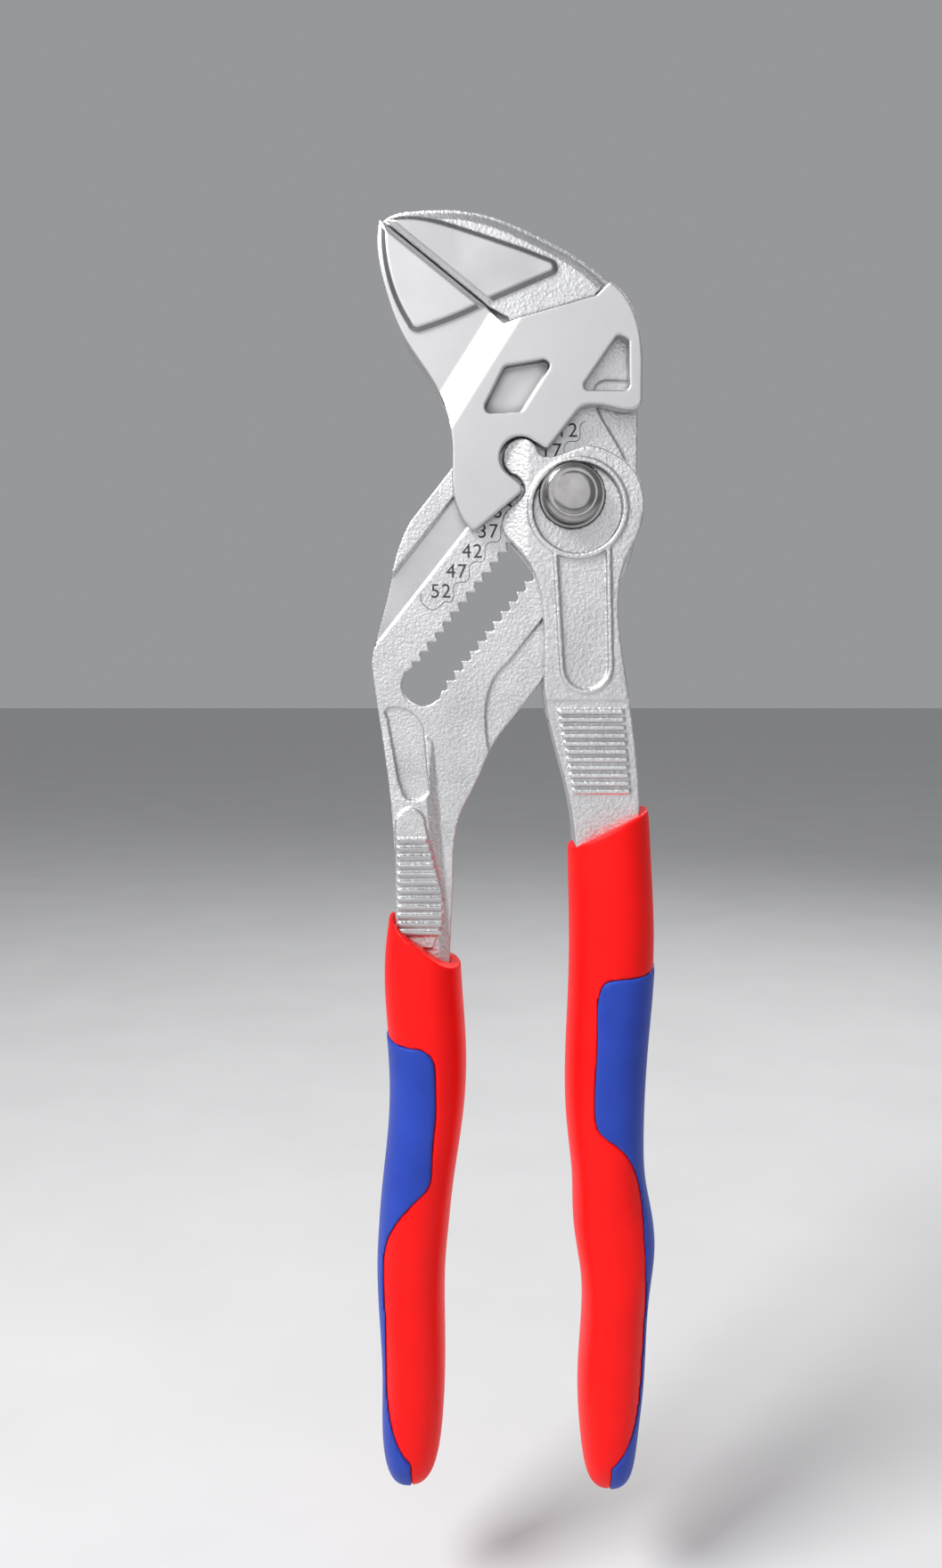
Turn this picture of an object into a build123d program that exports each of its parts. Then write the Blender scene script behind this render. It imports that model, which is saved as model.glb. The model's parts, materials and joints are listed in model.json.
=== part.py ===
"""Push-button adjustable pliers wrench with parallel jaws, hung jaws up.

Frame: millimetres, X across the tool, Z up towards the jaws, the front face towards -Y.
The origin is on the axis of the hinge bolt, in the middle of the tool's thickness.
Outlines are drawn in X and Z. Places along the toothed slot use (along, up): along the slot
towards the jaws, and up square to it, towards the jaw tips.
"""
from build123d import *
import math
import os

# Slot and its teeth
SLOT_ANGLE = 51.5       # slot direction above level
PITCH = 2.5             # one notch of the size adjustment
TOOTH_DEPTH = 1.5
SLOT_HALF = 3.05        # slot centre to tooth tips
SLOT_TOP = 6.9          # upper end of the slot, from the bolt axis
SLOT_END = -47.5        # centre of the rounded lower end
SLOT_END_R = 4.1
SLOT_REAR_HALF = 4.85   # plain rear half of the slot, where the pressed bolt slides free

# Slotted leg
BAND_UPPER = 21.85      # edges of the slotted band, from the slot's centre line
BAND_LOWER = -18.2
WEB_Y = 2.4             # half thicknesses
PLATEAU_Y = 3.0
GROOVE_Y = 1.8
GROOVE = (12.1, 18.2)   # guide groove between these distances above the slot
NECK_Y = 4.2
NECK_RAMP = 15.0        # length of the slope above the neck
NECK_FACET = 2.4        # width of the slope down its right edge
PAD_RISE = 0.5
GRIP_LINE = 18.1        # gripping face of the fixed jaw, along the slot
JAW_TIP_UP = 61.6       # its tip, up from the slot

# Sliding jaw
HEAD_Y = 7.0            # half thickness of the head
CHEEK_IN_Y = 3.2        # inner face of every cheek
JAW_Y = 4.5
JAW_PAD_Y = 5.4
PAD_SLOPE = 1.2         # run of the sloping side of a ground pad, for each mm of rise
JAW_GAP = 0.3           # between the closed gripping faces
BRIDGE_GAP = 0.35       # between the fork's bridge and the leg
RIB_PLAY = 0.25
BEVEL_ANGLE = 57.3      # run of the bevel between cheek and jaw
BEVEL = (26.65, 32.4)   # its two edges, from the bolt axis

SOCKET = (-0.79, 12.4)  # centre of the nose's socket, (along, up)
SOCKET_R = 4.0
PRONG = (-9.1, 1.1)     # corner of the lower prong before rounding
ARCH_UP = 9.28          # straight edge above the socket
POCKET_Y = 4.6          # floor of the diamond pocket

# Lever
PLATE_Y = 6.5
PANEL_Y = -6.0
NECK_TOP = -40.0
TANG_Y = 3.5
NECK_LEVER_Y = 6.0
NOSE = (-10.1, 7.2)
NOSE_R = 3.55
RECESS = (1.0, -2.6)
RECESS_R = 8.8
RECESS_FLOOR_Y = 5.2
RIM_WIDTH = 1.0
CROTCH = -24.6          # depth of the lever's fork, square to the slot
SWING = 30.0            # opening angle of the lever

# Hinge bolt and lock, from front to rear
BUSH_R = 6.3
BUSH_FIT = 0.05
BUSH_BACK_Y = 3.1
BUSH_FLOOR_Y = 4.05
REAR_BUSH_R = 6.5
BUTTON_R = 5.65
PIN_R = 1.8
BUTTON_FRONT_Y = -9.3
BUTTON_BACK_Y = -7.1
DOME_RISE = 0.6
NECK_R = 2.8
BLOCK_Y = (-2.9, -0.15)     # toothed block of the bolt
BLOCK_HALF = 4.4
TOOTH_PLAY = 0.2
TONGUE_ALONG = (4.75, 6.0)  # tongues of the front bush, beside the block
TONGUE_HALF = 1.5
REAR_BUSH_Y = (3.15, 6.8)
TONGUE_END_Y = 4.0
SPRING_BORE_R = 3.9
CAP_R = 5.0
CAP_Y = (5.4, 6.1)
RING_R = 5.4
RING_Y = 6.6
PILOT_R = 2.2
PILOT_END_Y = 2.4
SPRING_R = 3.1
SPRING_WIRE = 0.55
SPRING_TURNS = 3.0

# Grips
OVERLAY_RISE = 0.3
OVERLAY_DEEP = 2.0
SECTION_POINTS = 16
SECTION_POWER = 2.5     # of the superellipse: 2 is an ellipse, more is squarer

# Ribs under the thumb
RIB_RISE = 0.55
RIB_WIDTH = 0.85
LEG_RIB_PITCH = 1.7
LEVER_RIB_PITCH = 1.58


def slab(sketch, front, back):
    """The solid of an outline drawn in X and Z, from y = front to y = back."""
    plane = Plane((0, back, 0), x_dir=(1, 0, 0), z_dir=(0, -1, 0))
    return extrude(plane * sketch, amount=back - front)


def both_sides(sketch, inner, outer):
    """The same slab at the front and at the rear, from |y| = inner to |y| = outer."""
    return slab(sketch, -outer, -inner) + slab(sketch, inner, outer)


def outline(start, *runs):
    """A closed face from runs of points: one more point is a line, several are a curve."""
    edges = []
    for run in runs:
        points = [start, *run]
        edges.append(Line(*points) if len(points) == 2 else Spline(*points))
        start = points[-1]
    return make_face(edges)


def raised_pad(sketch, level, top):
    """A flat pad with sloping sides, on the front and the rear face at |y| = level."""
    pad = slab(sketch, -top, -level)
    rise = top - level - 0.02
    pad = chamfer(pad.faces().sort_by(Axis.Y)[0].edges(), rise, rise * PAD_SLOPE)
    return pad + mirror(pad, about=Plane.XZ)


def round_corner(sketch, corner, radius):
    """Round the corner of a face that lies nearest to a point."""
    vertex = sketch.vertices().sort_by_distance(Vector(*corner, 0))[0]
    return fillet(vertex, radius)


def polygon(*points):
    """A closed face with straight sides."""
    return make_face(Polyline(*points, close=True))


def on_slot(along, up):
    """X and Z of a place given along the slot and up from it."""
    a = math.radians(SLOT_ANGLE)
    return (along * math.cos(a) - up * math.sin(a), along * math.sin(a) + up * math.cos(a))


def beside_slot(sketch):
    """Turn a face drawn in (along, up) into X and Z."""
    return Rot(0, 0, SLOT_ANGLE) * sketch


def strip(along_from, along_to, up_from, up_to):
    """A straight-sided region in slot directions."""
    return polygon(on_slot(along_from, up_from), on_slot(along_to, up_from),
                   on_slot(along_to, up_to), on_slot(along_from, up_to))


# ---------------------------------------------------------------- slotted leg

def leg_outline():
    """Fixed jaw, slotted band, neck and tang in one outline."""
    return outline(
        on_slot(GRIP_LINE, JAW_TIP_UP),
        [(-34.6, 53.9), (-29.9, 54.6), (-24.9, 54.8), (-17.1, 53.8), (-7.1, 49.9),
         (2.3, 44.7), (8.9, 38.4), (12.3, 31.5), (13.0, 26.0)],
        [(13.0, -2.0)],
        [(12.5, -9.5), on_slot(-6.5, BAND_LOWER)],
        [on_slot(-45.5, BAND_LOWER)],
        [(-16.4, -51.0), (-19.0, -57.0), (-21.8, -62.5), (-23.1, -68.0), (-23.4, -76.0)],
        [(-24.2, -94.0)],
        [(-27.0, -188.0)],
        [(-33.2, -188.0)],
        [(-33.8, -100.0)],
        [(-35.0, -90.0)],
        [(-35.2, -76.0)],
        [(-35.5, -65.0), (-36.3, -56.7), (-37.7, -46.7), (-38.9, -38.7), (-39.6, -32.8)],
        [(-38.9, -28.6), (-36.6, -20.0), (-34.9, -12.6), on_slot(-23.5, BAND_UPPER)],
        [on_slot(GRIP_LINE, BAND_UPPER)],
        [on_slot(GRIP_LINE, JAW_TIP_UP)],
    )


def plateau_mask():
    """The raised field round the slot: all of the leg but its lower right flange."""
    return outline(
        (14.0, 22.4),
        [(6.4, 22.5)],
        [(4.5, 21.4), (4.9, 17.0), (8.6, 10.6), (11.4, 4.6), on_slot(6.5, -10.5)],
        [on_slot(-33.0, -10.5)],
        [(-16.3, -38.3), (-17.0, -43.0), (-16.2, -50.5)],
        [(-10.0, -92.0)],
        [(-60.0, -92.0)],
        [(-60.0, 70.0)],
        [(14.0, 70.0)],
        [(14.0, 22.4)],
    )


def toothed_slot():
    """Slot with V teeth on both sides, roots at every notch, and a rounded lower end."""
    notches = round(-SLOT_END / PITCH)
    side = [(SLOT_TOP, SLOT_HALF)]
    for k in range(2, -notches - 1, -1):
        side.append(((k + 0.5) * PITCH, SLOT_HALF))
        side.append((k * PITCH, SLOT_HALF + TOOTH_DEPTH))
    side.append((SLOT_END - PITCH / 2, SLOT_HALF))
    other = [(along, -up) for along, up in reversed(side)]
    return beside_slot(polygon(*side, *other) + Pos(SLOT_END, 0) * Circle(SLOT_END_R))


def plain_slot():
    """The wider rear half of the slot."""
    top = SLOT_TOP
    bottom = SLOT_END - SLOT_END_R
    centre = (top + bottom) / 2
    return beside_slot(Pos(centre, 0) * SlotOverall(top - bottom, 2 * SLOT_REAR_HALF))


def thumb_ribs(heights, left, right, level):
    """Ribs across a face at |y| = level: heights, and left and right ends as functions of z."""
    ribs = None
    for z in heights:
        low = z - RIB_WIDTH / 2
        high = z + RIB_WIDTH / 2
        bar = polygon((left(z), low), (right(z), low), (right(z), high), (left(z), high))
        pair = both_sides(bar, level - 0.2, level + RIB_RISE)
        ribs = pair if ribs is None else ribs + pair
    return ribs


def leg_pad():
    """Raised oval pad under the thumb on the leg's neck."""
    return outline(
        (-34.9, -90.0),
        [(-34.9, -65.0)],
        [(-33.9, -62.6), (-31.8, -61.6), (-29.9, -62.6), (-29.0, -65.0)],
        [(-25.4, -79.5)],
        [(-25.1, -82.0), (-25.7, -85.0)],
        [(-27.6, -90.0)],
        [(-34.9, -90.0)],
    )


def neck_mask():
    """Where the leg is thick enough for a handle, clear of the jaw's and the lever's forks."""
    return outline(
        (-45.0, -44.0),
        [(-36.0, -44.0)],
        [(-29.5, -46.5), (-26.0, -52.0), (-25.2, -60.0)],
        [(-24.4, -70.0)],
        [(-20.0, -70.6)],
        [(-20.0, -96.0)],
        [(-45.0, -96.0)],
        [(-45.0, -44.0)],
    )


def slope_cutter(edge, run):
    """What is cut so that the neck rises, over run, from the plateau to its full thickness.

    All is cut on the right of edge, as seen going from its first point to its second.
    """
    (x0, z0), (x1, z1) = edge
    length = math.hypot(x1 - x0, z1 - z0)
    along = Vector((x1 - x0) / length, 0, (z1 - z0) / length)
    across = Vector(along.Z, 0, -along.X)
    section = polygon((-run, NECK_Y + 0.01), (0.0, PLATEAU_Y), (20.0, PLATEAU_Y),
                      (20.0, NECK_Y + 2.0), (-run, NECK_Y + 2.0))
    plane = Plane((x0, 0, z0), x_dir=across, z_dir=across.cross(Vector(0, -1, 0)))
    cutter = extrude(plane * section, amount=length, both=True)
    return cutter + mirror(cutter, about=Plane.XZ)


def neck_slopes():
    """Slopes from the plateau up to the neck: across its top and down its right edge."""
    top = slope_cutter(((-20.0, -45.5), (-50.0, -45.5)), NECK_RAMP)
    right_edge = slope_cutter(((-23.4, -96.0), (-27.6, -44.0)), NECK_FACET)
    return top + right_edge


def origin_recess():
    """Blank oval recess above the thumb pad."""
    return outline(
        (-36.4, -41.6),
        [(-34.6, -41.4), (-30.6, -43.4), (-29.2, -47.0)],
        [(-28.3, -57.0)],
        [(-28.8, -59.2), (-31.0, -60.2), (-33.4, -59.0)],
        [(-34.4, -56.0)],
        [(-36.6, -43.4)],
        [(-37.0, -42.3), (-36.4, -41.6)],
    )


def throat():
    """Small relief where the gripping faces end."""
    drop = polygon(on_slot(17.2, 31.3), on_slot(18.8, 31.0), on_slot(17.9, 36.6))
    return drop + Pos(*on_slot(18.0, 31.2)) * Circle(0.8)


def make_slotted_leg():
    body = leg_outline()
    leg = slab(body, -WEB_Y, WEB_Y)
    leg += slab(body & plateau_mask(), -PLATEAU_Y, PLATEAU_Y)
    jaw_region = polygon(on_slot(GRIP_LINE, 75.0), on_slot(GRIP_LINE, 30.8), (4.0, 38.2),
                         (6.2, 40.6), (12.0, 48.0), (0.0, 70.0), (-45.0, 70.0))
    jaw = slab(body & jaw_region, -JAW_Y, JAW_Y)
    rim = jaw.edges().filter_by(lambda e: abs(abs(e.center().Y) - JAW_Y) < 0.01
                                and e.center().Z > 46.0 and e.length > 20.0
                                and e.geom_type != GeomType.LINE)
    leg += chamfer(rim, 2.0, 2.3)
    leg += raised_pad(fixed_pad(), JAW_Y, JAW_PAD_Y)
    leg += slab(body & neck_mask(), -NECK_Y, NECK_Y) - neck_slopes()
    leg += both_sides(leg_pad(), NECK_Y - 0.2, NECK_Y + PAD_RISE)
    groove = strip(-70.0, 17.0, *GROOVE)
    leg -= both_sides(groove, GROOVE_Y, NECK_Y + 1)
    leg -= slab(toothed_slot(), -PLATEAU_Y - 1, PLATEAU_Y + 1)
    leg -= slab(plain_slot(), 0.0, PLATEAU_Y + 1)
    leg -= slab(throat(), -HEAD_Y, HEAD_Y)
    leg -= both_sides(origin_recess(), PLATEAU_Y - 0.5, PLATEAU_Y + 3)
    heights = [-68.2 - LEG_RIB_PITCH * k for k in range(12)]
    leg += thumb_ribs(heights, lambda z: -34.3, lambda z: min(-28.6 - (z + 68.2) * 0.29, -25.6),
                      NECK_Y + PAD_RISE)
    return leg


def fixed_pad():
    """Ground pad beside the fixed jaw's gripping face."""
    return outline(
        on_slot(GRIP_LINE, 61.2),
        [(-33.0, 53.2), (-29.0, 53.0), (-20.0, 50.6), (-10.0, 47.3), (-4.4, 45.2)],
        [(-3.2, 44.2), (-3.0, 42.9), (-4.0, 41.8)],
        [on_slot(GRIP_LINE, 35.8)],
        [on_slot(GRIP_LINE, 61.2)],
    )


# ---------------------------------------------------------------- sliding jaw

def jaw_outline():
    """Gripping face, back, lower prong, socket for the nose, arch and cheek top."""
    closed = GRIP_LINE - JAW_GAP
    tip = on_slot(closed, JAW_TIP_UP + 0.4)
    socket_low = -SOCKET_R + SOCKET[0]
    socket_high = SOCKET_R + SOCKET[0]
    face = outline(
        tip,
        [(-37.9, 47.6), (-36.3, 39.1), (-32.7, 30.2), (-26.8, 21.3), (-24.3, 14.8),
         (-23.4, 8.0), (-23.4, 1.5), (-22.1, -3.5), (-19.9, -6.6)],
        [(-19.1, -6.8), (-18.2, -6.35)],
        [PRONG],
        [on_slot(socket_low, SOCKET[1])],
        [on_slot(socket_high, SOCKET[1])],
        [on_slot(socket_high + 0.4, ARCH_UP)],
        [on_slot(13.0, ARCH_UP)],
        [(1.9, 16.8), (4.2, 17.1), (7.3, 16.7), (10.8, 16.1), (12.7, 16.7), (13.25, 18.3)],
        [(13.25, 26.0)],
        [(12.4, 32.0), (10.1, 37.2), (6.9, 40.2)],
        [(4.3, 37.7)],
        [on_slot(closed, 30.4)],
        [tip],
    )
    face = round_corner(face, PRONG, 1.25)
    face = round_corner(face, on_slot(socket_high + 0.4, ARCH_UP), 0.8)
    return face - Pos(*on_slot(*SOCKET)) * Circle(SOCKET_R)


def sliding_pad():
    """Ground pad beside the sliding jaw's gripping face."""
    closed = GRIP_LINE - JAW_GAP
    return outline(
        on_slot(closed, 61.6),
        [(-37.2, 48.5), (-35.9, 40.6), (-34.1, 35.9), (-32.2, 32.6)],
        [(-31.4, 31.5), (-30.4, 31.1), (-29.3, 31.3)],
        [(-25.4, 32.6), on_slot(closed, 35.8)],
        [on_slot(closed, 61.6)],
    )


def triangle_window():
    """Lightening window through each cheek."""
    corners = [(1.2, 19.8), (8.6, 30.4), (10.6, 29.4), (10.8, 19.8)]
    face = polygon(*corners)
    return fillet(face.vertices(), 0.9)


def diamond_pocket():
    """Blind pocket in each cheek."""
    face = polygon((-17.9, 15.3), (-9.9, 15.8), (-3.4, 26.0), (-13.3, 24.4))
    return fillet(face.vertices(), 1.2)


def bevel_cutter():
    """What is cut from the front to step down from the cheek to the jaw along the bevel."""
    a = math.radians(BEVEL_ANGLE)
    run = (math.cos(a), 0, math.sin(a))
    across = (-math.sin(a), 0, math.cos(a))
    slope = (HEAD_Y - JAW_Y) / (BEVEL[1] - BEVEL[0])
    section = polygon((BEVEL[0] - 2.0, HEAD_Y + 2.0 * slope), (BEVEL[1], JAW_Y),
                      (BEVEL[1] + 40.0, JAW_Y), (BEVEL[1] + 40.0, HEAD_Y + 2.0))
    plane = Plane((0, 0, 0), x_dir=across, z_dir=run)
    return extrude(plane * section, amount=70.0, both=True)


def make_sliding_jaw():
    body = jaw_outline()
    closed = GRIP_LINE - JAW_GAP
    jaw = slab(body, -HEAD_Y, HEAD_Y)
    step = bevel_cutter()
    jaw -= step
    jaw -= mirror(step, about=Plane.XZ)
    jaw += raised_pad(sliding_pad(), JAW_Y, JAW_PAD_Y)
    jaw -= slab(strip(-90.0, 90.0, -70.0, BAND_UPPER + BRIDGE_GAP), -CHEEK_IN_Y, CHEEK_IN_Y)
    jaw -= slab(strip(closed, 60.0, 0.0, 31.0), -CHEEK_IN_Y, CHEEK_IN_Y)
    rib = strip(-16.0, 15.0, GROOVE[0] + RIB_PLAY, GROOVE[1] - RIB_PLAY)
    jaw += both_sides(rib & body, GROOVE_Y + 0.15, CHEEK_IN_Y + 0.2)
    jaw -= both_sides(triangle_window(), CHEEK_IN_Y - 0.5, HEAD_Y + 1)
    jaw -= both_sides(diamond_pocket(), POCKET_Y, HEAD_Y + 1)
    jaw -= slab(throat(), -HEAD_Y, HEAD_Y)
    return jaw


# ---------------------------------------------------------------- lever

def lever_outline():
    """Nose, hub, neck and tang in one outline."""
    body = outline(
        (-9.5, 8.0),
        [(-7.9, 9.7)],
        [(-7.1, 8.5), (-5.7, 7.35), (-3.6, 7.3), (-0.7, 8.2), (2.2, 9.2), (4.6, 9.2),
         (8.0, 7.8), (10.8, 6.0), (12.7, 3.5), (13.8, 0.2), (13.9, -3.1), (13.1, -6.9),
         (11.4, -10.6), (9.9, -14.4), (9.2, -18.8), (9.2, -23.5), (9.9, -30.0)],
        [(11.9, -42.5), (13.0, -51.0), (13.7, -60.0)],
        [(13.6, -66.0)],
        [(12.6, -76.0)],
        [(12.4, -188.0)],
        [(6.6, -188.0)],
        [(3.4, -76.0)],
        [(0.95, -68.5)],
        [(0.1, -61.3), (-2.2, -51.9), (-4.1, -45.0), (-5.3, -38.5)],
        [(-5.4, -27.0)],
        [(-5.9, -20.5), (-6.9, -16.4), (-8.4, -13.2), (-10.2, -10.9), (-12.3, -8.5),
         (-13.6, -6.6), (-13.7, -4.8), (-12.9, -3.2), (-11.3, -1.8), (-9.9, -0.5),
         (-9.3, 0.8), (-9.6, 2.1), (-11.3, 4.0)],
        [(-10.8, 6.0)],
        [(-9.5, 8.0)],
    )
    return body + Pos(*NOSE) * Circle(NOSE_R)


def name_panel():
    """Blank sunk panel on the lever's neck."""
    sides = polygon((-3.2, -8.0), (6.6, -8.0), (7.25, -33.0), (-1.55, -33.6))
    return sides + Pos(2.85, -33.5) * Circle(4.4)


def raised_rim():
    """Narrow rim round the button recess and down both sides of the panel."""
    hub = Pos(*RECESS) * Circle(RECESS_R + RIM_WIDTH)
    panel = name_panel()
    rim = hub + offset(panel, 0.8)
    rim -= panel - hub
    return rim - Pos(*RECESS) * Circle(RECESS_R)


def fork_space():
    """What the lever's fork must leave free for the slotted leg over the whole swing."""
    closed = strip(-130.0, 130.0, CROTCH, 90.0)
    opened = Rot(0, 0, -SWING) * strip(-130.0, 130.0, BAND_LOWER - 0.5, 90.0)
    return closed + opened


def make_lever():
    body = lever_outline()
    upper = polygon((-30.0, 30.0), (30.0, 30.0), (30.0, NECK_TOP), (-30.0, NECK_TOP))
    neck = polygon((-30.0, NECK_TOP), (30.0, NECK_TOP), (30.0, -76.0), (-30.0, -76.0))
    lever = slab(body & upper, -PLATE_Y, PLATE_Y)
    lever += slab(body & neck, -NECK_LEVER_Y, NECK_LEVER_Y)
    lever += slab(body, -TANG_Y, TANG_Y)
    lever += slab(raised_rim() & body, -HEAD_Y, 1 - PLATE_Y)
    lever -= slab(fork_space(), -CHEEK_IN_Y, CHEEK_IN_Y)
    lever -= slab(name_panel() - Pos(*RECESS) * Circle(RECESS_R + RIM_WIDTH), -9.0, PANEL_Y)
    lever -= slab(Pos(*RECESS) * Circle(RECESS_R), -9.0, -RECESS_FLOOR_Y)
    lever -= slab(Circle(BUSH_R + BUSH_FIT), -9.0, 0.0)
    lever -= slab(Circle(REAR_BUSH_R + BUSH_FIT), 0.0, 9.0)
    facet = polygon((-8.7, -PLATE_Y), (-16.0, 2.3 - PLATE_Y), (-16.0, -9.0), (-8.7, -9.0))
    lever -= Pos(0, 0, -16.0) * extrude(Plane.XY * facet, amount=29.0)
    heights = [-42.3 - LEVER_RIB_PITCH * k for k in range(11)]
    lever += thumb_ribs(heights, lambda z: -2.5 - (z + 42.3) * 0.19,
                        lambda z: 10.3 - (z + 42.3) * 0.09, NECK_LEVER_Y)
    return lever


# ---------------------------------------------------------------- hinge bolt and lock

def make_front_bush():
    """Cup in the lever's front cheek, with two tongues that hang through the slot."""
    bush = slab(Circle(BUSH_R), -RECESS_FLOOR_Y, -BUSH_BACK_Y)
    bush -= slab(Circle(BUTTON_R + 0.12), -RECESS_FLOOR_Y - 1, -BUSH_FLOOR_Y)
    bush -= slab(Circle(NECK_R + BUSH_FIT), -9.0, 0.0)
    centre = sum(TONGUE_ALONG) / 2
    width = TONGUE_ALONG[1] - TONGUE_ALONG[0]
    for side in (-1, 1):
        tongue = beside_slot(Pos(side * centre, 0) * Rectangle(width, 2 * TONGUE_HALF))
        bush += slab(tongue, -BUSH_BACK_Y - 0.2, TONGUE_END_Y)
    return bush


def make_rear_bush():
    """Bearing ring in the lever's rear cheek, pressed on the tongues, with the spring's bore."""
    front, back = REAR_BUSH_Y
    bush = slab(Circle(REAR_BUSH_R), front, back)
    bush -= slab(Circle(SPRING_BORE_R), front - 1, back + 1)
    bush -= slab(Circle(CAP_R), CAP_Y[0], back + 1)
    bush -= slab(Circle(RING_R), CAP_Y[1], RING_Y)
    centre = sum(TONGUE_ALONG) / 2
    width = TONGUE_ALONG[1] - TONGUE_ALONG[0]
    for side in (-1, 1):
        pocket = beside_slot(Pos(side * centre, 0) * Rectangle(width, 2 * TONGUE_HALF))
        bush -= slab(pocket, front - 1, TONGUE_END_Y)
    return bush


def make_rear_cap():
    """Disc that closes the rear bush and backs the spring."""
    cap = slab(Circle(CAP_R), *CAP_Y)
    return cap - slab(Circle(1.2), CAP_Y[1] - 0.3, CAP_Y[1] + 1)


def make_retaining_ring():
    """Open snap ring behind the rear cap."""
    ring = slab(Circle(RING_R) - Circle(RING_R - 1.1), CAP_Y[1], RING_Y)
    return ring - slab(Pos(0, -RING_R) * Rectangle(2.4, 4.0), 0.0, 9.0)


def toothed_block():
    """Cross-section of the bolt's locking block, with teeth that mesh with the slot."""
    low = SLOT_HALF - TOOTH_PLAY
    side = [(BLOCK_HALF, low)]
    for k in (1, 0, -1):
        side.append(((k + 0.5) * PITCH, low))
        side.append((k * PITCH, low + TOOTH_DEPTH))
    side.append((-1.5 * PITCH, low))
    side.append((-BLOCK_HALF, low))
    other = [(along, -up) for along, up in reversed(side)]
    return beside_slot(polygon(*side, *other))


def make_toothed_bolt():
    """Sliding bolt: pin for the button, neck, toothed block and spring pilot."""
    bolt = slab(Circle(PIN_R), BUTTON_BACK_Y - 1.2, BUTTON_BACK_Y + 0.2)
    bolt += slab(Circle(NECK_R), BUTTON_BACK_Y, BLOCK_Y[0] + 0.1)
    bolt += slab(toothed_block(), *BLOCK_Y)
    bolt += slab(Circle(PILOT_R), BLOCK_Y[1] - 0.1, PILOT_END_Y)
    return bolt


def make_push_button():
    """Domed button on the front end of the toothed bolt."""
    edge = BUTTON_FRONT_Y + 0.5
    profile = outline(
        (0.0, BUTTON_FRONT_Y - DOME_RISE),
        [(BUTTON_R * 0.55, BUTTON_FRONT_Y - 0.7 * DOME_RISE), (BUTTON_R - 0.4, BUTTON_FRONT_Y)],
        [(BUTTON_R, edge)],
        [(BUTTON_R, BUTTON_BACK_Y)],
        [(0.0, BUTTON_BACK_Y)],
        [(0.0, BUTTON_FRONT_Y - DOME_RISE)],
    )
    button = revolve(profile, axis=Axis.Y)
    return button - slab(Circle(PIN_R), BUTTON_BACK_Y - 1.2, BUTTON_BACK_Y + 1)


def make_bolt_spring():
    """Compression spring between the toothed block and the rear cap."""
    wire = SPRING_WIRE / 2
    front = BLOCK_Y[1] + wire + 0.02
    back = CAP_Y[0] - wire - 0.02
    mean = SPRING_R - wire
    path = Helix(pitch=(back - front) / SPRING_TURNS, height=back - front, radius=mean)
    coil = sweep(Plane(path @ 0, z_dir=path % 0) * Circle(wire), path=path, is_frenet=True)
    return Pos(0, front, 0) * Rot(-90, 0, 0) * coil


# ---------------------------------------------------------------- grips

def grip_section(z, left, right, depth, grow):
    """Rounded cross-section of a grip at one height."""
    half = (right - left) / 2 + grow
    centre = (left + right) / 2
    points = []
    for k in range(SECTION_POINTS):
        t = 2 * math.pi * k / SECTION_POINTS
        x = math.copysign(abs(math.cos(t)) ** (2 / SECTION_POWER), math.cos(t))
        y = math.copysign(abs(math.sin(t)) ** (2 / SECTION_POWER), math.sin(t))
        points.append((centre + half * x, (depth + grow) * y))
    ring = Spline(*points, periodic=True)
    return Plane.XY.offset(z) * make_face(ring)


def grip_solid(stations, grow=0.0):
    """Loft through the stations (z, left, right, half depth), grown by a thickness."""
    return loft([grip_section(*station, grow) for station in stations])


def make_grip(stations, above, soft_zone, steel):
    """The hard core and the soft overlay of one grip, on its steel tang."""
    outer = grip_solid(stations)
    zone = slab(soft_zone, -20.0, 20.0)
    overlay = (grip_solid(stations, OVERLAY_RISE) - grip_solid(stations, -OVERLAY_DEEP)) & zone
    core = outer - slab(above, -20.0, 20.0) - overlay - steel
    return core, overlay


LEFT_STATIONS = [
    (-80.0, -35.9, -23.2, 9.0), (-90.0, -37.2, -22.1, 9.6), (-102.0, -37.3, -21.4, 10.2),
    (-117.0, -36.3, -20.8, 10.5), (-132.0, -37.0, -22.3, 10.5), (-150.0, -38.7, -24.5, 10.3),
    (-166.0, -38.8, -25.3, 9.9), (-183.0, -38.1, -25.3, 9.5), (-196.0, -38.0, -26.3, 8.8),
    (-202.5, -36.5, -28.4, 6.2), (-204.5, -34.5, -31.0, 2.5),
]

RIGHT_STATIONS = [
    (-56.0, 1.2, 14.6, 9.0), (-70.0, -0.1, 16.6, 9.8), (-82.0, 0.2, 17.3, 10.2),
    (-94.0, 0.3, 17.4, 10.4), (-110.0, -0.2, 16.3, 10.5), (-124.0, -0.2, 15.6, 10.5),
    (-140.0, 1.3, 16.2, 10.5), (-160.0, 3.2, 17.4, 10.3), (-175.0, 3.1, 16.4, 9.9),
    (-190.0, 2.9, 15.4, 9.4), (-199.0, 3.8, 14.4, 8.2), (-204.0, 5.4, 12.8, 5.4),
    (-205.3, 7.5, 10.5, 2.5),
]


def left_soft_zone():
    """Front view of the soft area on the outer side of the left grip."""
    return outline(
        (-50.0, -106.0),
        [(-38.2, -107.0)],
        [(-36.0, -108.6), (-32.5, -109.2), (-29.6, -109.6), (-27.6, -111.3), (-27.0, -115.0),
         (-26.9, -122.0), (-27.7, -132.0), (-28.5, -137.7), (-31.0, -140.5), (-35.0, -145.5),
         (-37.2, -151.0), (-37.6, -160.0), (-37.3, -174.0), (-36.5, -188.0), (-34.3, -194.2),
         (-32.3, -197.0)],
        [(-32.1, -210.0)],
        [(-50.0, -210.0)],
        [(-50.0, -106.0)],
    )


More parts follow.
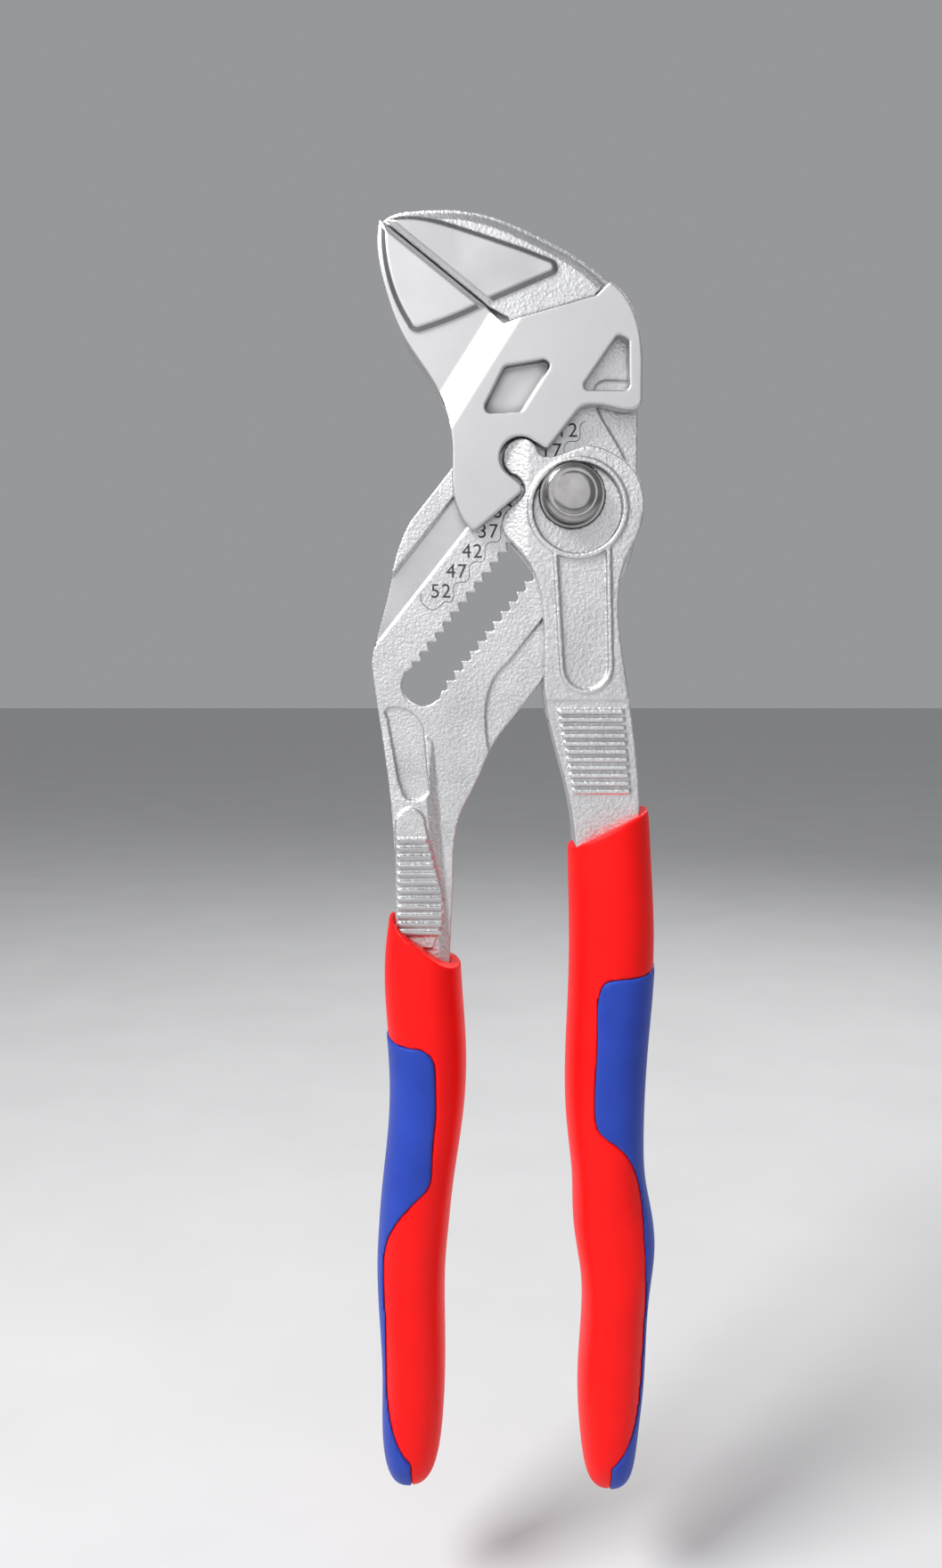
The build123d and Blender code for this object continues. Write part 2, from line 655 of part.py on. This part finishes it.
def right_soft_zone():
    """Front view of the soft area on the outer side of the right grip."""
    return outline(
        (30.0, -93.0),
        [(18.0, -93.6)],
        [(15.0, -94.8), (9.6, -95.3), (6.8, -96.1), (5.7, -98.5), (5.4, -106.0),
         (5.0, -122.0), (5.9, -126.2), (9.8, -129.4), (12.6, -133.2), (14.4, -139.0),
         (15.4, -149.0), (15.9, -161.0), (15.3, -178.0), (14.2, -188.5), (12.0, -194.5),
         (9.3, -198.0)],
        [(9.1, -210.0)],
        [(30.0, -210.0)],
        [(30.0, -93.0)],
    )


def left_top():
    """Everything above the slanted upper end of the left grip."""
    return outline(
        (-50.0, -83.9),
        [(-35.9, -83.9)],
        [(-33.4, -86.8), (-29.5, -89.8), (-25.2, -92.8), (-21.0, -93.7)],
        [(0.0, -93.7)],
        [(0.0, -40.0)],
        [(-50.0, -40.0)],
        [(-50.0, -83.9)],
    )


def right_top():
    """Everything above the slanted upper end of the right grip."""
    return polygon((-10.0, -74.7), (0.2, -69.6), (15.4, -61.9), (30.0, -57.0),
                   (30.0, -40.0), (-10.0, -40.0))


def build_all():
    """Every node of the tool by name."""
    leg = make_slotted_leg()
    lever = make_lever()
    left_core, left_overlay = make_grip(LEFT_STATIONS, left_top(), left_soft_zone(), leg)
    right_core, right_overlay = make_grip(RIGHT_STATIONS, right_top(), right_soft_zone(), lever)
    return {
        "slotted_leg": leg,
        "sliding_jaw": make_sliding_jaw(),
        "lever": lever,
        "front_bush": make_front_bush(),
        "rear_bush": make_rear_bush(),
        "rear_cap": make_rear_cap(),
        "retaining_ring": make_retaining_ring(),
        "toothed_bolt": make_toothed_bolt(),
        "push_button": make_push_button(),
        "bolt_spring": make_bolt_spring(),
        "left_grip_core": left_core,
        "left_grip_overlay": left_overlay,
        "right_grip_core": right_core,
        "right_grip_overlay": right_overlay,
    }


os.makedirs("parts", exist_ok=True)
for name, shape in build_all().items():
    export_step(shape, f"parts/{name}.step")
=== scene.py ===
"""Looks of the push-button adjustable pliers wrench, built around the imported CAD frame.

Sizes in millimetres are turned into metres by MM. The frame's origin is on the hinge bolt's
axis, in the tool's middle plane. +Z points up to the jaws, and -Y is the front.
"""
import json
import math

import bmesh
import bpy
import numpy as np
from mathutils import Matrix, Vector, noise


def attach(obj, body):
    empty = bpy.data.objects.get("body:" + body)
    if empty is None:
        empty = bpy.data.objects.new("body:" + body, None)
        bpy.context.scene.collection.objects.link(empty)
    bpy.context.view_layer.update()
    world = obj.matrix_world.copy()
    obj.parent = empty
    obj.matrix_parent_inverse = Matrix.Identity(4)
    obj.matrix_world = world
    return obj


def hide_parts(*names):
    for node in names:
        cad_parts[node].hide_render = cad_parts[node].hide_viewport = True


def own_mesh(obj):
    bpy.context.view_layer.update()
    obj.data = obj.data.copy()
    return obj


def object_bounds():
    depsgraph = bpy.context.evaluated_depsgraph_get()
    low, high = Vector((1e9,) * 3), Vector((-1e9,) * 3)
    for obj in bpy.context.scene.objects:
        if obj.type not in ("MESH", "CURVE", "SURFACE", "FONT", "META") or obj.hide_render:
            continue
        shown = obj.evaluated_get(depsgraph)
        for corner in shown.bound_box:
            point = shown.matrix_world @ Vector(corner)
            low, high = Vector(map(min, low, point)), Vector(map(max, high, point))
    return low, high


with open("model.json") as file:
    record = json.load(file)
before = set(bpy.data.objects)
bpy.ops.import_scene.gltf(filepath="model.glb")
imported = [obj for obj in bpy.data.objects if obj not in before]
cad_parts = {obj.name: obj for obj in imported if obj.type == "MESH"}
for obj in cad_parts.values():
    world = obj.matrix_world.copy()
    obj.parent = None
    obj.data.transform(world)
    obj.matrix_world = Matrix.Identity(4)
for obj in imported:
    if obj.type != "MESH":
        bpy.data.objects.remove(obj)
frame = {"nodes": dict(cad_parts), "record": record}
cad_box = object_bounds()

MM = 0.001
BODY_OF = {node: body for body, nodes in frame["record"]["behaviour"]["bodies"].items()
           for node in nodes}
SLOT_OF = {part["node"]: part["material_slot"] for part in frame["record"]["subparts"]}

SLOT_ANGLE = math.radians(51.5)     # direction of the toothed slot, above level

# Where things are on the tool, in millimetres
SCALE_FACE_Y = -3.0                 # face of the leg that carries the size scale
GROUND_LEVELS = (2.0, 5.2)          # the leg is ground smooth inside and outside these depths
GRIP_LINE = 18.0                    # gripping faces of the closed jaws, along the slot
PAD_WALL_DEPTH = (4.6, 5.3)         # walls of both jaws' ground pads, from the middle plane
PAD_WALL_REACH = (1.3, 30.0)        # the same walls, from the grip line
BUTTON_PROFILE = [                  # (radius, y), from the dome to the back
    (0.0, -9.90), (1.0, -9.895), (2.0, -9.87), (3.0, -9.82), (3.9, -9.74), (4.05, -9.66),
    (4.25, -9.62), (4.45, -9.66), (4.6, -9.64), (5.1, -9.5), (5.4, -9.3), (5.58, -9.05),
    (5.65, -8.7), (5.65, -7.1), (0.0, -7.1),
]

# Size scale, in millimetres
LAST_SIZE = 52                      # largest jaw opening
SIZE_STEP = 5
SIZES = range(12, LAST_SIZE + 1, SIZE_STEP)
LAST_SIZE_PLACE = (-25.8, -18.6)    # centre of the last number, X and Z
DIGIT_SIZE = 3.9
DIGIT_SPACING = 1.12                # of the font's own
ETCH_HALF = 0.07                    # the marking stands this proud of the face, and goes as deep
BORDER_STEP = [                     # the line beside one number, from the number's centre
    (3.6, 1.87), (2.9, 1.45), (2.55, 0.8), (2.5, -1.1), (2.25, -1.65), (1.8, -1.95),
]
BORDER_END = [                      # its turn below the last number, from that number's centre
    (0.7, -2.05), (-0.1, -2.75), (-1.3, -3.5), (-2.5, -3.3), (-3.5, -2.4), (-4.0, -1.2),
    (-3.75, -0.3),
]

# Forged copies of the CAD nodes, in millimetres
WELD = 0.0005                       # corners nearer than this are one corner
WAVE_LENGTH = 4.5                   # of the unevenness
MOST_TRIANGLES = 190_000            # in one piece

# Painted shade on the steel: darker in corners, pockets and on the pads' walls
# dark colour painted into corners, pockets and the pads' walls as shade
PAINTED_SHADE = (0.13, 0.13, 0.135, 1)
CORNER_OPENNESS = (0.35, 0.92)      # the painted shade is darkest below the first, and gone above the second
PAD_WALL_STEEPNESS = (0.82, 0.9)    # a wall's normal along Y is below the first, a pad's above
PAD_WALL_SHADE = 0.75               # the painted shade's share on the pads' walls

# Stage
FLOOR_CLEARANCE = 26.0              # mm; the lever comes down 23.5 mm at the largest size
FLOOR_HALF = 6.0                    # half the floor's width in metres
LIGHTS = [                          # name, place and size in metres, watts
    ("front", (-0.15, -0.90, 0.25), (0.9, 0.7), 1.9),
    ("key", (-0.45, -0.35, 0.50), (0.3, 0.3), 7.5),
    ("rim", (0.3, 0.5, 0.45), (0.4, 0.4), 3.0),
]
LIGHTS_AIM = (0, 0, -0.05)
CAMERA_PLACE = (-0.0198, -0.2748, -0.0331)
CAMERA_DOWN = math.radians(5.0)
CAMERA_LENS = 31.2


# ---------------------------------------------------------------- node helpers

class Tree:
    """Short names for building one material's nodes."""

    def __init__(self, name):
        self.material = bpy.data.materials.new(name)
        self.material.use_nodes = True
        self.tree = self.material.node_tree
        self.shader = self.tree.nodes["Principled BSDF"]
        coords = self.tree.nodes.new("ShaderNodeTexCoord")
        self.place = coords.outputs["Object"]
        self.normal = coords.outputs["Normal"]

    def feed(self, socket, value):
        """Link another node's output to a socket, or set the socket's own value."""
        if isinstance(value, bpy.types.NodeSocket):
            self.tree.links.new(value, socket)
        else:
            socket.default_value = value

    def add(self, kind, inputs, **settings):
        node = self.tree.nodes.new(kind)
        for key, value in settings.items():
            setattr(node, key, value)
        for key, value in inputs.items():
            self.feed(node.inputs[key], value)
        return node

    def set(self, **values):
        """Feed the shader's sockets, named with _ for each space."""
        for key, value in values.items():
            self.feed(self.shader.inputs[key.replace("_", " ")], value)

    def size_along_y(self, vector):
        """How large a vector's Y part is, either way."""
        y = self.add("ShaderNodeSeparateXYZ", {"Vector": vector}).outputs["Y"]
        return self.math("ABSOLUTE", y)

    def depth(self):
        """How far a point is from the tool's middle plane."""
        return self.size_along_y(self.place)

    def along_slot(self):
        """How far a point is from the bolt's axis, along the slot."""
        direction = (math.cos(SLOT_ANGLE), 0.0, math.sin(SLOT_ANGLE))
        node = self.add("ShaderNodeVectorMath", {0: self.place, 1: direction},
                        operation="DOT_PRODUCT")
        return node.outputs["Value"]

    def noise(self, size, detail=3.0, roughness=0.55, place=None):
        """Noise with features of about this size in millimetres."""
        node = self.add("ShaderNodeTexNoise",
                        {"Vector": place or self.place, "Scale": 1 / (size * MM),
                         "Detail": detail, "Roughness": roughness})
        return node.outputs["Fac"]

    def stretched(self, x, y, z):
        """The place, with each axis scaled."""
        node = self.add("ShaderNodeMapping", {"Vector": self.place, "Scale": (x, y, z)})
        return node.outputs["Vector"]

    def between(self, factor, low, high, start=0.35, end=0.65):
        """A number from low to high as factor goes from start to end."""
        node = self.add("ShaderNodeMapRange",
                        {"Value": factor, "From Min": start, "From Max": end,
                         "To Min": low, "To Max": high})
        return node.outputs["Result"]

    def colours(self, factor, low, high, start=0.3, end=0.7):
        """A colour from low to high as factor goes from start to end."""
        ramp = self.add("ShaderNodeValToRGB", {"Fac": factor})
        ramp.color_ramp.elements[0].position = start
        ramp.color_ramp.elements[0].color = (*low, 1)
        ramp.color_ramp.elements[1].position = end
        ramp.color_ramp.elements[1].color = (*high, 1)
        return ramp.outputs["Color"]

    def mix(self, factor, a, b):
        """Colour a, with b's share going up with factor. 6 and 7 are the colour inputs."""
        node = self.add("ShaderNodeMix", {0: factor, 6: a, 7: b}, data_type="RGBA")
        return node.outputs[2]

    def math(self, operation, a, b=0.0):
        return self.add("ShaderNodeMath", {0: a, 1: b}, operation=operation).outputs[0]

    def product(self, *factors):
        """All the factors, multiplied."""
        result = factors[0]
        for factor in factors[1:]:
            result = self.math("MULTIPLY", result, factor)
        return result

    def average(self, a, b):
        return self.math("ADD", self.product(a, 0.5), self.product(b, 0.5))

    def openness(self, reach):
        """1 on open faces and less in corners and pockets, seen this far away in millimetres."""
        node = self.add("ShaderNodeAmbientOcclusion", {"Distance": reach * MM},
                        samples=8, only_local=True)
        return node.outputs["AO"]

    def within(self, value, limits):
        """1 where a value in metres is between these two limits in millimetres, else 0."""
        above = self.math("GREATER_THAN", value, limits[0] * MM)
        below = self.math("LESS_THAN", value, limits[1] * MM)
        return self.product(above, below)

    def pad_walls(self):
        """How much a face is one of the sloping walls of the ground pads, from 0 to 1."""
        steep = self.between(self.size_along_y(self.normal), 1.0, 0.0, *PAD_WALL_STEEPNESS)
        at_pad = self.within(self.depth(), PAD_WALL_DEPTH)
        past_grip = self.math("SUBTRACT", self.along_slot(), GRIP_LINE * MM)
        near_grip = self.within(self.math("ABSOLUTE", past_grip), PAD_WALL_REACH)
        return self.product(steep, at_pad, near_grip)

    def soiled(self, colour, reach, most):
        """The colour with painted shade: darker in corners and pockets and on the pads' walls.

        The reach is in millimetres, and most is the painted shade's share of the colour in a deep
        corner.
        """
        corners = self.between(self.openness(reach), most, 0.0, *CORNER_OPENNESS)
        walls = self.product(self.pad_walls(), PAD_WALL_SHADE)
        # painted shade: the colour goes towards the dark shade colour in corners and on the pads'
        # walls
        return self.mix(self.math("MAXIMUM", corners, walls), colour, PAINTED_SHADE)

    def bump(self, height, depth, normal=None):
        """Bump of this depth in millimetres."""
        inputs = {"Height": height, "Strength": 1.0, "Distance": depth * MM}
        if normal is not None:
            inputs["Normal"] = normal
        return self.add("ShaderNodeBump", inputs).outputs["Normal"]


# ---------------------------------------------------------------- materials

def skin_steel(name, ground_levels=None):
    """Satin nickel over a shot-blasted forged skin.

    Faces nearer to the middle plane than the first ground level, or further out than the
    second, are ground smooth.
    """
    t = Tree(name)
    peel = t.noise(0.62, detail=2.0)
    grit = t.noise(0.2, detail=2.0)
    cloud = t.noise(9.0, detail=2.0)
    height = t.product(peel, t.within(t.depth(), ground_levels)) if ground_levels else peel
    tone = t.average(height, cloud)
    colour = t.colours(tone, (0.54, 0.54, 0.55), (0.74, 0.74, 0.75), 0.2, 0.6)
    # painted shade darkens the colour in corners, pockets and on the pads' walls
    t.set(Base_Color=t.soiled(colour, 1.1, 0.5),
          Metallic=1.0,
          Roughness=t.between(height, 0.34, 0.46, 0.0, 0.6),
          Normal=t.bump(grit, 0.016, t.bump(height, 0.16)))
    return t.material


def ground_steel(name):
    """Satin nickel over ground faces, with a fine even grain and faint grinding lines."""
    t = Tree(name)
    grain = t.noise(0.2, detail=3.0)
    lines = t.noise(0.25, detail=2.0, place=t.stretched(0.06, 1.0, 1.0))
    cloud = t.noise(14.0, detail=2.0)
    tone = t.average(grain, cloud)
    colour = t.colours(tone, (0.58, 0.575, 0.585), (0.67, 0.665, 0.675))
    # painted shade darkens the colour in corners, pockets and on the pads' walls
    t.set(Base_Color=t.soiled(colour, 2.4, 0.9),
          Metallic=1.0,
          Roughness=t.between(cloud, 0.40, 0.46),
          Normal=t.bump(lines, 0.004, t.bump(grain, 0.008)))
    return t.material


def turned_steel(name):
    """Bright turned steel of the bolt group."""
    t = Tree(name)
    rings = t.noise(0.3, detail=2.0, place=t.stretched(1.0, 4.0, 1.0))
    t.set(Base_Color=t.colours(rings, (0.34, 0.34, 0.35), (0.46, 0.46, 0.47)),
          Metallic=1.0,
          Roughness=t.between(rings, 0.28, 0.36),
          Normal=t.bump(rings, 0.006))
    return t.material


def polished_steel(name):
    """Polished dome of the push button, with fine wear marks."""
    t = Tree(name)
    smudge = t.noise(3.0, detail=4.0)
    scratch = t.noise(0.35, detail=3.0, place=t.stretched(1.0, 1.0, 0.12))
    t.set(Base_Color=t.colours(smudge, (0.30, 0.29, 0.29), (0.42, 0.41, 0.41)),
          Metallic=1.0,
          Roughness=t.between(smudge, 0.14, 0.24),
          Normal=t.bump(scratch, 0.0025))
    return t.material


def spring_steel(name):
    """Dark drawn spring wire."""
    t = Tree(name)
    grain = t.noise(0.3, detail=3.0)
    t.set(Base_Color=t.colours(grain, (0.20, 0.20, 0.21), (0.30, 0.30, 0.31)),
          Metallic=1.0,
          Roughness=t.between(grain, 0.30, 0.42),
          Normal=t.bump(grain, 0.004))
    return t.material


def hard_grip(name):
    """Smooth semi-gloss red plastic."""
    t = Tree(name)
    cloud = t.noise(12.0, detail=2.0)
    fine = t.noise(0.5, detail=3.0)
    t.set(Base_Color=t.colours(cloud, (0.88, 0.003, 0.003), (0.94, 0.005, 0.004)),
          Roughness=t.between(fine, 0.40, 0.48),
          Specular_IOR_Level=0.2,
          Normal=t.bump(fine, 0.006))
    return t.material


def soft_grip(name):
    """Matte blue elastomer with a fine grain."""
    t = Tree(name)
    cloud = t.noise(10.0, detail=3.0)
    fine = t.noise(0.35, detail=3.0)
    t.set(Base_Color=t.colours(cloud, (0.010, 0.042, 0.36), (0.015, 0.056, 0.43)),
          Roughness=t.between(fine, 0.52, 0.62),
          Normal=t.bump(fine, 0.014),
          Specular_IOR_Level=0.3,
          Sheen_Weight=0.08,
          Sheen_Roughness=0.5)
    return t.material


def etched(name):
    """Dark laser-marked digits and line."""
    t = Tree(name)
    grain = t.noise(0.2, detail=2.0)
    t.set(Base_Color=t.colours(grain, (0.035, 0.035, 0.037), (0.075, 0.075, 0.078)),
          Metallic=0.3,
          Roughness=t.between(grain, 0.55, 0.7))
    return t.material


def floor_paint(name):
    """Plain pale studio floor."""
    t = Tree(name)
    cloud = t.noise(60.0, detail=3.0)
    t.set(Base_Color=t.colours(cloud, (0.62, 0.62, 0.625), (0.65, 0.65, 0.655)),
          Roughness=t.between(cloud, 0.85, 0.9))
    return t.material


LOOKS = {
    "forged_steel": skin_steel("forged_steel"),
    "ground_steel": ground_steel("ground_steel"),
    "bolt_steel": turned_steel("bolt_steel"),
    "polished_steel": polished_steel("polished_steel"),
    "spring_steel": spring_steel("spring_steel"),
    "hard_grip": hard_grip("hard_grip"),
    "soft_grip": soft_grip("soft_grip"),
}


# ---------------------------------------------------------------- mesh helpers

def smooth_by_angle(mesh, degrees=40):
    """Smooth shading, except over edges sharper than this."""
    mesh.polygons.foreach_set("use_smooth", [True] * len(mesh.polygons))
    work = bmesh.new()
    work.from_mesh(mesh)
    limit = math.radians(degrees)
    for edge in work.edges:
        edge.smooth = len(edge.link_faces) != 2 or edge.calc_face_angle() < limit
    work.to_mesh(mesh)
    work.free()


def add_piece(name, mesh, node, material=None):
    """A new visible piece that rides with a CAD node's body and takes its finish."""
    piece = bpy.data.objects.new(name, mesh)
    bpy.context.scene.collection.objects.link(piece)
    mesh.materials.clear()
    mesh.materials.append(material or LOOKS[SLOT_OF[node]])
    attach(piece, BODY_OF[node])
    return piece


def applied(thing):
    """The mesh of an object, text or curve, with its modifiers applied."""
    bpy.context.view_layer.update()
    graph = bpy.context.evaluated_depsgraph_get()
    return bpy.data.meshes.new_from_object(thing.evaluated_get(graph))


def mesh_of(name, data):
    """The mesh of a text or a curve."""
    holder = bpy.data.objects.new(name, data)
    bpy.context.scene.collection.objects.link(holder)
    mesh = applied(holder)
    bpy.data.objects.remove(holder)
    return mesh


def blank_in_mm(node):
    """An object with a CAD node's mesh, in millimetres and with its corners welded."""
    work = bmesh.new()
    work.from_mesh(frame["nodes"][node].data)
    bmesh.ops.scale(work, vec=(1 / MM,) * 3, verts=work.verts)
    bmesh.ops.remove_doubles(work, verts=work.verts, dist=WELD)
    mesh = bpy.data.meshes.new(node + "_blank")
    work.to_mesh(mesh)
    work.free()
    blank = bpy.data.objects.new(node + "_blank", mesh)
    bpy.context.scene.collection.objects.link(blank)
    return blank


def rounded_off(blank, voxel, rounding):
    """The blank's mesh on a voxel grid, edges rounded, thinned if it has too many triangles.

    It is made in millimetres, because the voxel remesher is slow on very small voxels.
    """
    grid = blank.modifiers.new("grid", "REMESH")
    grid.mode = "VOXEL"
    grid.voxel_size = voxel
    soften = blank.modifiers.new("soften", "SMOOTH")
    soften.factor = 0.5
    soften.iterations = rounding
    result = applied(blank)
    if 2 * len(result.polygons) > MOST_TRIANGLES:
        blank.modifiers.clear()
        blank.data = result
        thin = blank.modifiers.new("thin", "DECIMATE")
        thin.ratio = MOST_TRIANGLES / (2 * len(result.polygons))
        result = applied(blank)
    return result


def make_uneven(mesh, waviness):
    """Move a mesh's points in and out in soft waves, and turn it from millimetres into metres."""
    places = np.empty(len(mesh.vertices) * 3, np.float32)
    normals = np.empty(len(mesh.vertices) * 3, np.float32)
    mesh.vertices.foreach_get("co", places)
    mesh.vertex_normals.foreach_get("vector", normals)
    waves = [noise.noise(place) for place in places.reshape(-1, 3) / WAVE_LENGTH]
    places += normals * np.repeat(waves, 3).astype(np.float32) * waviness
    mesh.vertices.foreach_set("co", places * MM)
    mesh.update()


def forge(node, voxel, rounding, waviness=0.0, material=None):
    """Show a forged or moulded copy of a CAD node: edges rounded off, faces slightly uneven."""
    blank = blank_in_mm(node)
    mesh = rounded_off(blank, voxel, rounding)
    bpy.data.objects.remove(blank)
    make_uneven(mesh, waviness)
    mesh.polygons.foreach_set("use_smooth", [True] * len(mesh.polygons))
    piece = add_piece(node + "_forging", mesh, node, material)
    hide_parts(node)


def turned_ring(work, radius, y, segments):
    """One ring of points about the bolt's axis, or a single point where the radius is 0."""
    if radius == 0:
        return [work.verts.new((0, y * MM, 0))]
    turn = [2 * math.pi * k / segments for k in range(segments)]
    return [work.verts.new((radius * MM * math.cos(a), y * MM, radius * MM * math.sin(a)))
            for a in turn]


def add_turned_piece(name, profile, node, segments=96):
    """A piece turned about the bolt's axis, which stands for a CAD node."""
    work = bmesh.new()
    rings = [turned_ring(work, radius, y, segments) for radius, y in profile]
    for ring, following in zip(rings, rings[1:]):
        for k in range(segments):
            corners = [ring[k % len(ring)], ring[(k + 1) % len(ring)],
                       following[(k + 1) % len(following)], following[k % len(following)]]
            work.faces.new(list(dict.fromkeys(corners)))
    bmesh.ops.recalc_face_normals(work, faces=work.faces)
    mesh = bpy.data.meshes.new(name)
    work.to_mesh(mesh)
    work.free()
    smooth_by_angle(mesh)
    piece = add_piece(name, mesh, node)
    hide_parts(node)


def joined(name, meshes):
    """One mesh made of several."""
    work = bmesh.new()
    for mesh in meshes:
        work.from_mesh(mesh)
    result = bpy.data.meshes.new(name)
    work.to_mesh(result)
    work.free()
    return result


# ---------------------------------------------------------------- size scale

def scale_place(number):
    """Centre of a size number on the leg, X and Z in mm."""
    steps = (LAST_SIZE - number) / SIZE_STEP
    return (LAST_SIZE_PLACE[0] + steps * SIZE_STEP * math.cos(SLOT_ANGLE),
            LAST_SIZE_PLACE[1] + steps * SIZE_STEP * math.sin(SLOT_ANGLE))


def engraved_number(number):
    """The mesh of one size number, a hair proud of the leg's face."""
    text = bpy.data.curves.new(f"size_{number}", "FONT")
    text.body = str(number)
    text.size = DIGIT_SIZE * MM
    text.space_character = DIGIT_SPACING
    text.align_x = "CENTER"
    text.align_y = "CENTER"
    text.extrude = ETCH_HALF * MM
    mesh = mesh_of(f"size_{number}", text)
    x, z = scale_place(number)
    upright = Matrix.Rotation(math.radians(90), 4, "X")
    mesh.transform(Matrix.Translation((x * MM, SCALE_FACE_Y * MM, z * MM)) @ upright)
    return mesh


def scale_border():
    """The mesh of the stepped line beside the numbers, closed round the last one."""
    points = []
    for number in SIZES:
        x, z = scale_place(number)
        points += [(x + dx, z + dz) for dx, dz in BORDER_STEP]
    points += [(LAST_SIZE_PLACE[0] + dx, LAST_SIZE_PLACE[1] + dz) for dx, dz in BORDER_END]
    line = bpy.data.curves.new("scale_border", "CURVE")
    line.dimensions = "3D"
    line.bevel_depth = ETCH_HALF * MM
    line.bevel_resolution = 1
    spline = line.splines.new("BEZIER")
    spline.bezier_points.add(len(points) - 1)
    for knot, (x, z) in zip(spline.bezier_points, points):
        knot.co = (x * MM, SCALE_FACE_Y * MM, z * MM)
        knot.handle_left_type = "AUTO"
        knot.handle_right_type = "AUTO"
    return mesh_of("scale_border", line)


def add_scale():
    """The numbers and their line, as one piece on the leg."""
    meshes = [engraved_number(number) for number in SIZES]
    meshes.append(scale_border())
    add_piece("size_scale", joined("size_scale", meshes), "slotted_leg", etched("etched"))


def add_spring():
    """A copy of the bolt's spring with a mesh of its own, riding with the spring's body."""
    coil = frame["nodes"]["bolt_spring"].data.copy()
    spring = add_piece("bolt_spring_coil", coil, "bolt_spring")
    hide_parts("bolt_spring")
    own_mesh(spring)


# ---------------------------------------------------------------- the tool

leg_steel = skin_steel("leg_steel", GROUND_LEVELS)
forge("slotted_leg", voxel=0.21, rounding=2, waviness=0.03, material=leg_steel)
forge("lever", voxel=0.21, rounding=3, waviness=0.03)
forge("sliding_jaw", voxel=0.22, rounding=2, waviness=0.008)
for side in ("left", "right"):
    forge(side + "_grip_core", voxel=0.4, rounding=3)
    forge(side + "_grip_overlay", voxel=0.36, rounding=3)

add_turned_piece("button_cap", BUTTON_PROFILE, "push_button")
add_spring()
add_scale()

for node_name, node_object in frame["nodes"].items():
    node_object.data.materials.clear()
    node_object.data.materials.append(LOOKS[SLOT_OF[node_name]])


# ---------------------------------------------------------------- stage

def add_light(name, place, size, power):
    light = bpy.data.lights.new(name, "AREA")
    light.shape = "RECTANGLE"
    light.size, light.size_y = size
    light.energy = power
    lamp = bpy.data.objects.new(name, light)
    bpy.context.scene.collection.objects.link(lamp)
    lamp.location = place
    towards = Vector(LIGHTS_AIM) - Vector(place)
    lamp.rotation_euler = towards.to_track_quat("-Z", "Y").to_euler()


def add_floor():
    work = bmesh.new()
    bmesh.ops.create_grid(work, x_segments=8, y_segments=8, size=FLOOR_HALF)
    mesh = bpy.data.meshes.new("floor")
    work.to_mesh(mesh)
    work.free()
    floor = bpy.data.objects.new("floor", mesh)
    bpy.context.scene.collection.objects.link(floor)
    floor.location.z = cad_box[0][2] - FLOOR_CLEARANCE * MM
    mesh.materials.append(floor_paint("floor_paint"))


def add_world():
    world = bpy.data.worlds.new("studio")
    world.use_nodes = True
    background = world.node_tree.nodes["Background"]
    background.inputs["Color"].default_value = (0.86, 0.87, 0.89, 1)
    background.inputs["Strength"].default_value = 0.36
    bpy.context.scene.world = world


def add_camera():
    lens = bpy.data.cameras.new("camera")
    lens.lens = CAMERA_LENS
    lens.sensor_width = 36.0
    lens.clip_start = 0.005
    camera = bpy.data.objects.new("camera", lens)
    bpy.context.scene.collection.objects.link(camera)
    camera.location = CAMERA_PLACE
    camera.rotation_euler = (math.pi / 2 - CAMERA_DOWN, 0.0, 0.0)
    bpy.context.scene.camera = camera


add_floor()
add_world()
for light_row in LIGHTS:
    add_light(*light_row)
add_camera()
bpy.context.scene.view_settings.view_transform = "Standard"
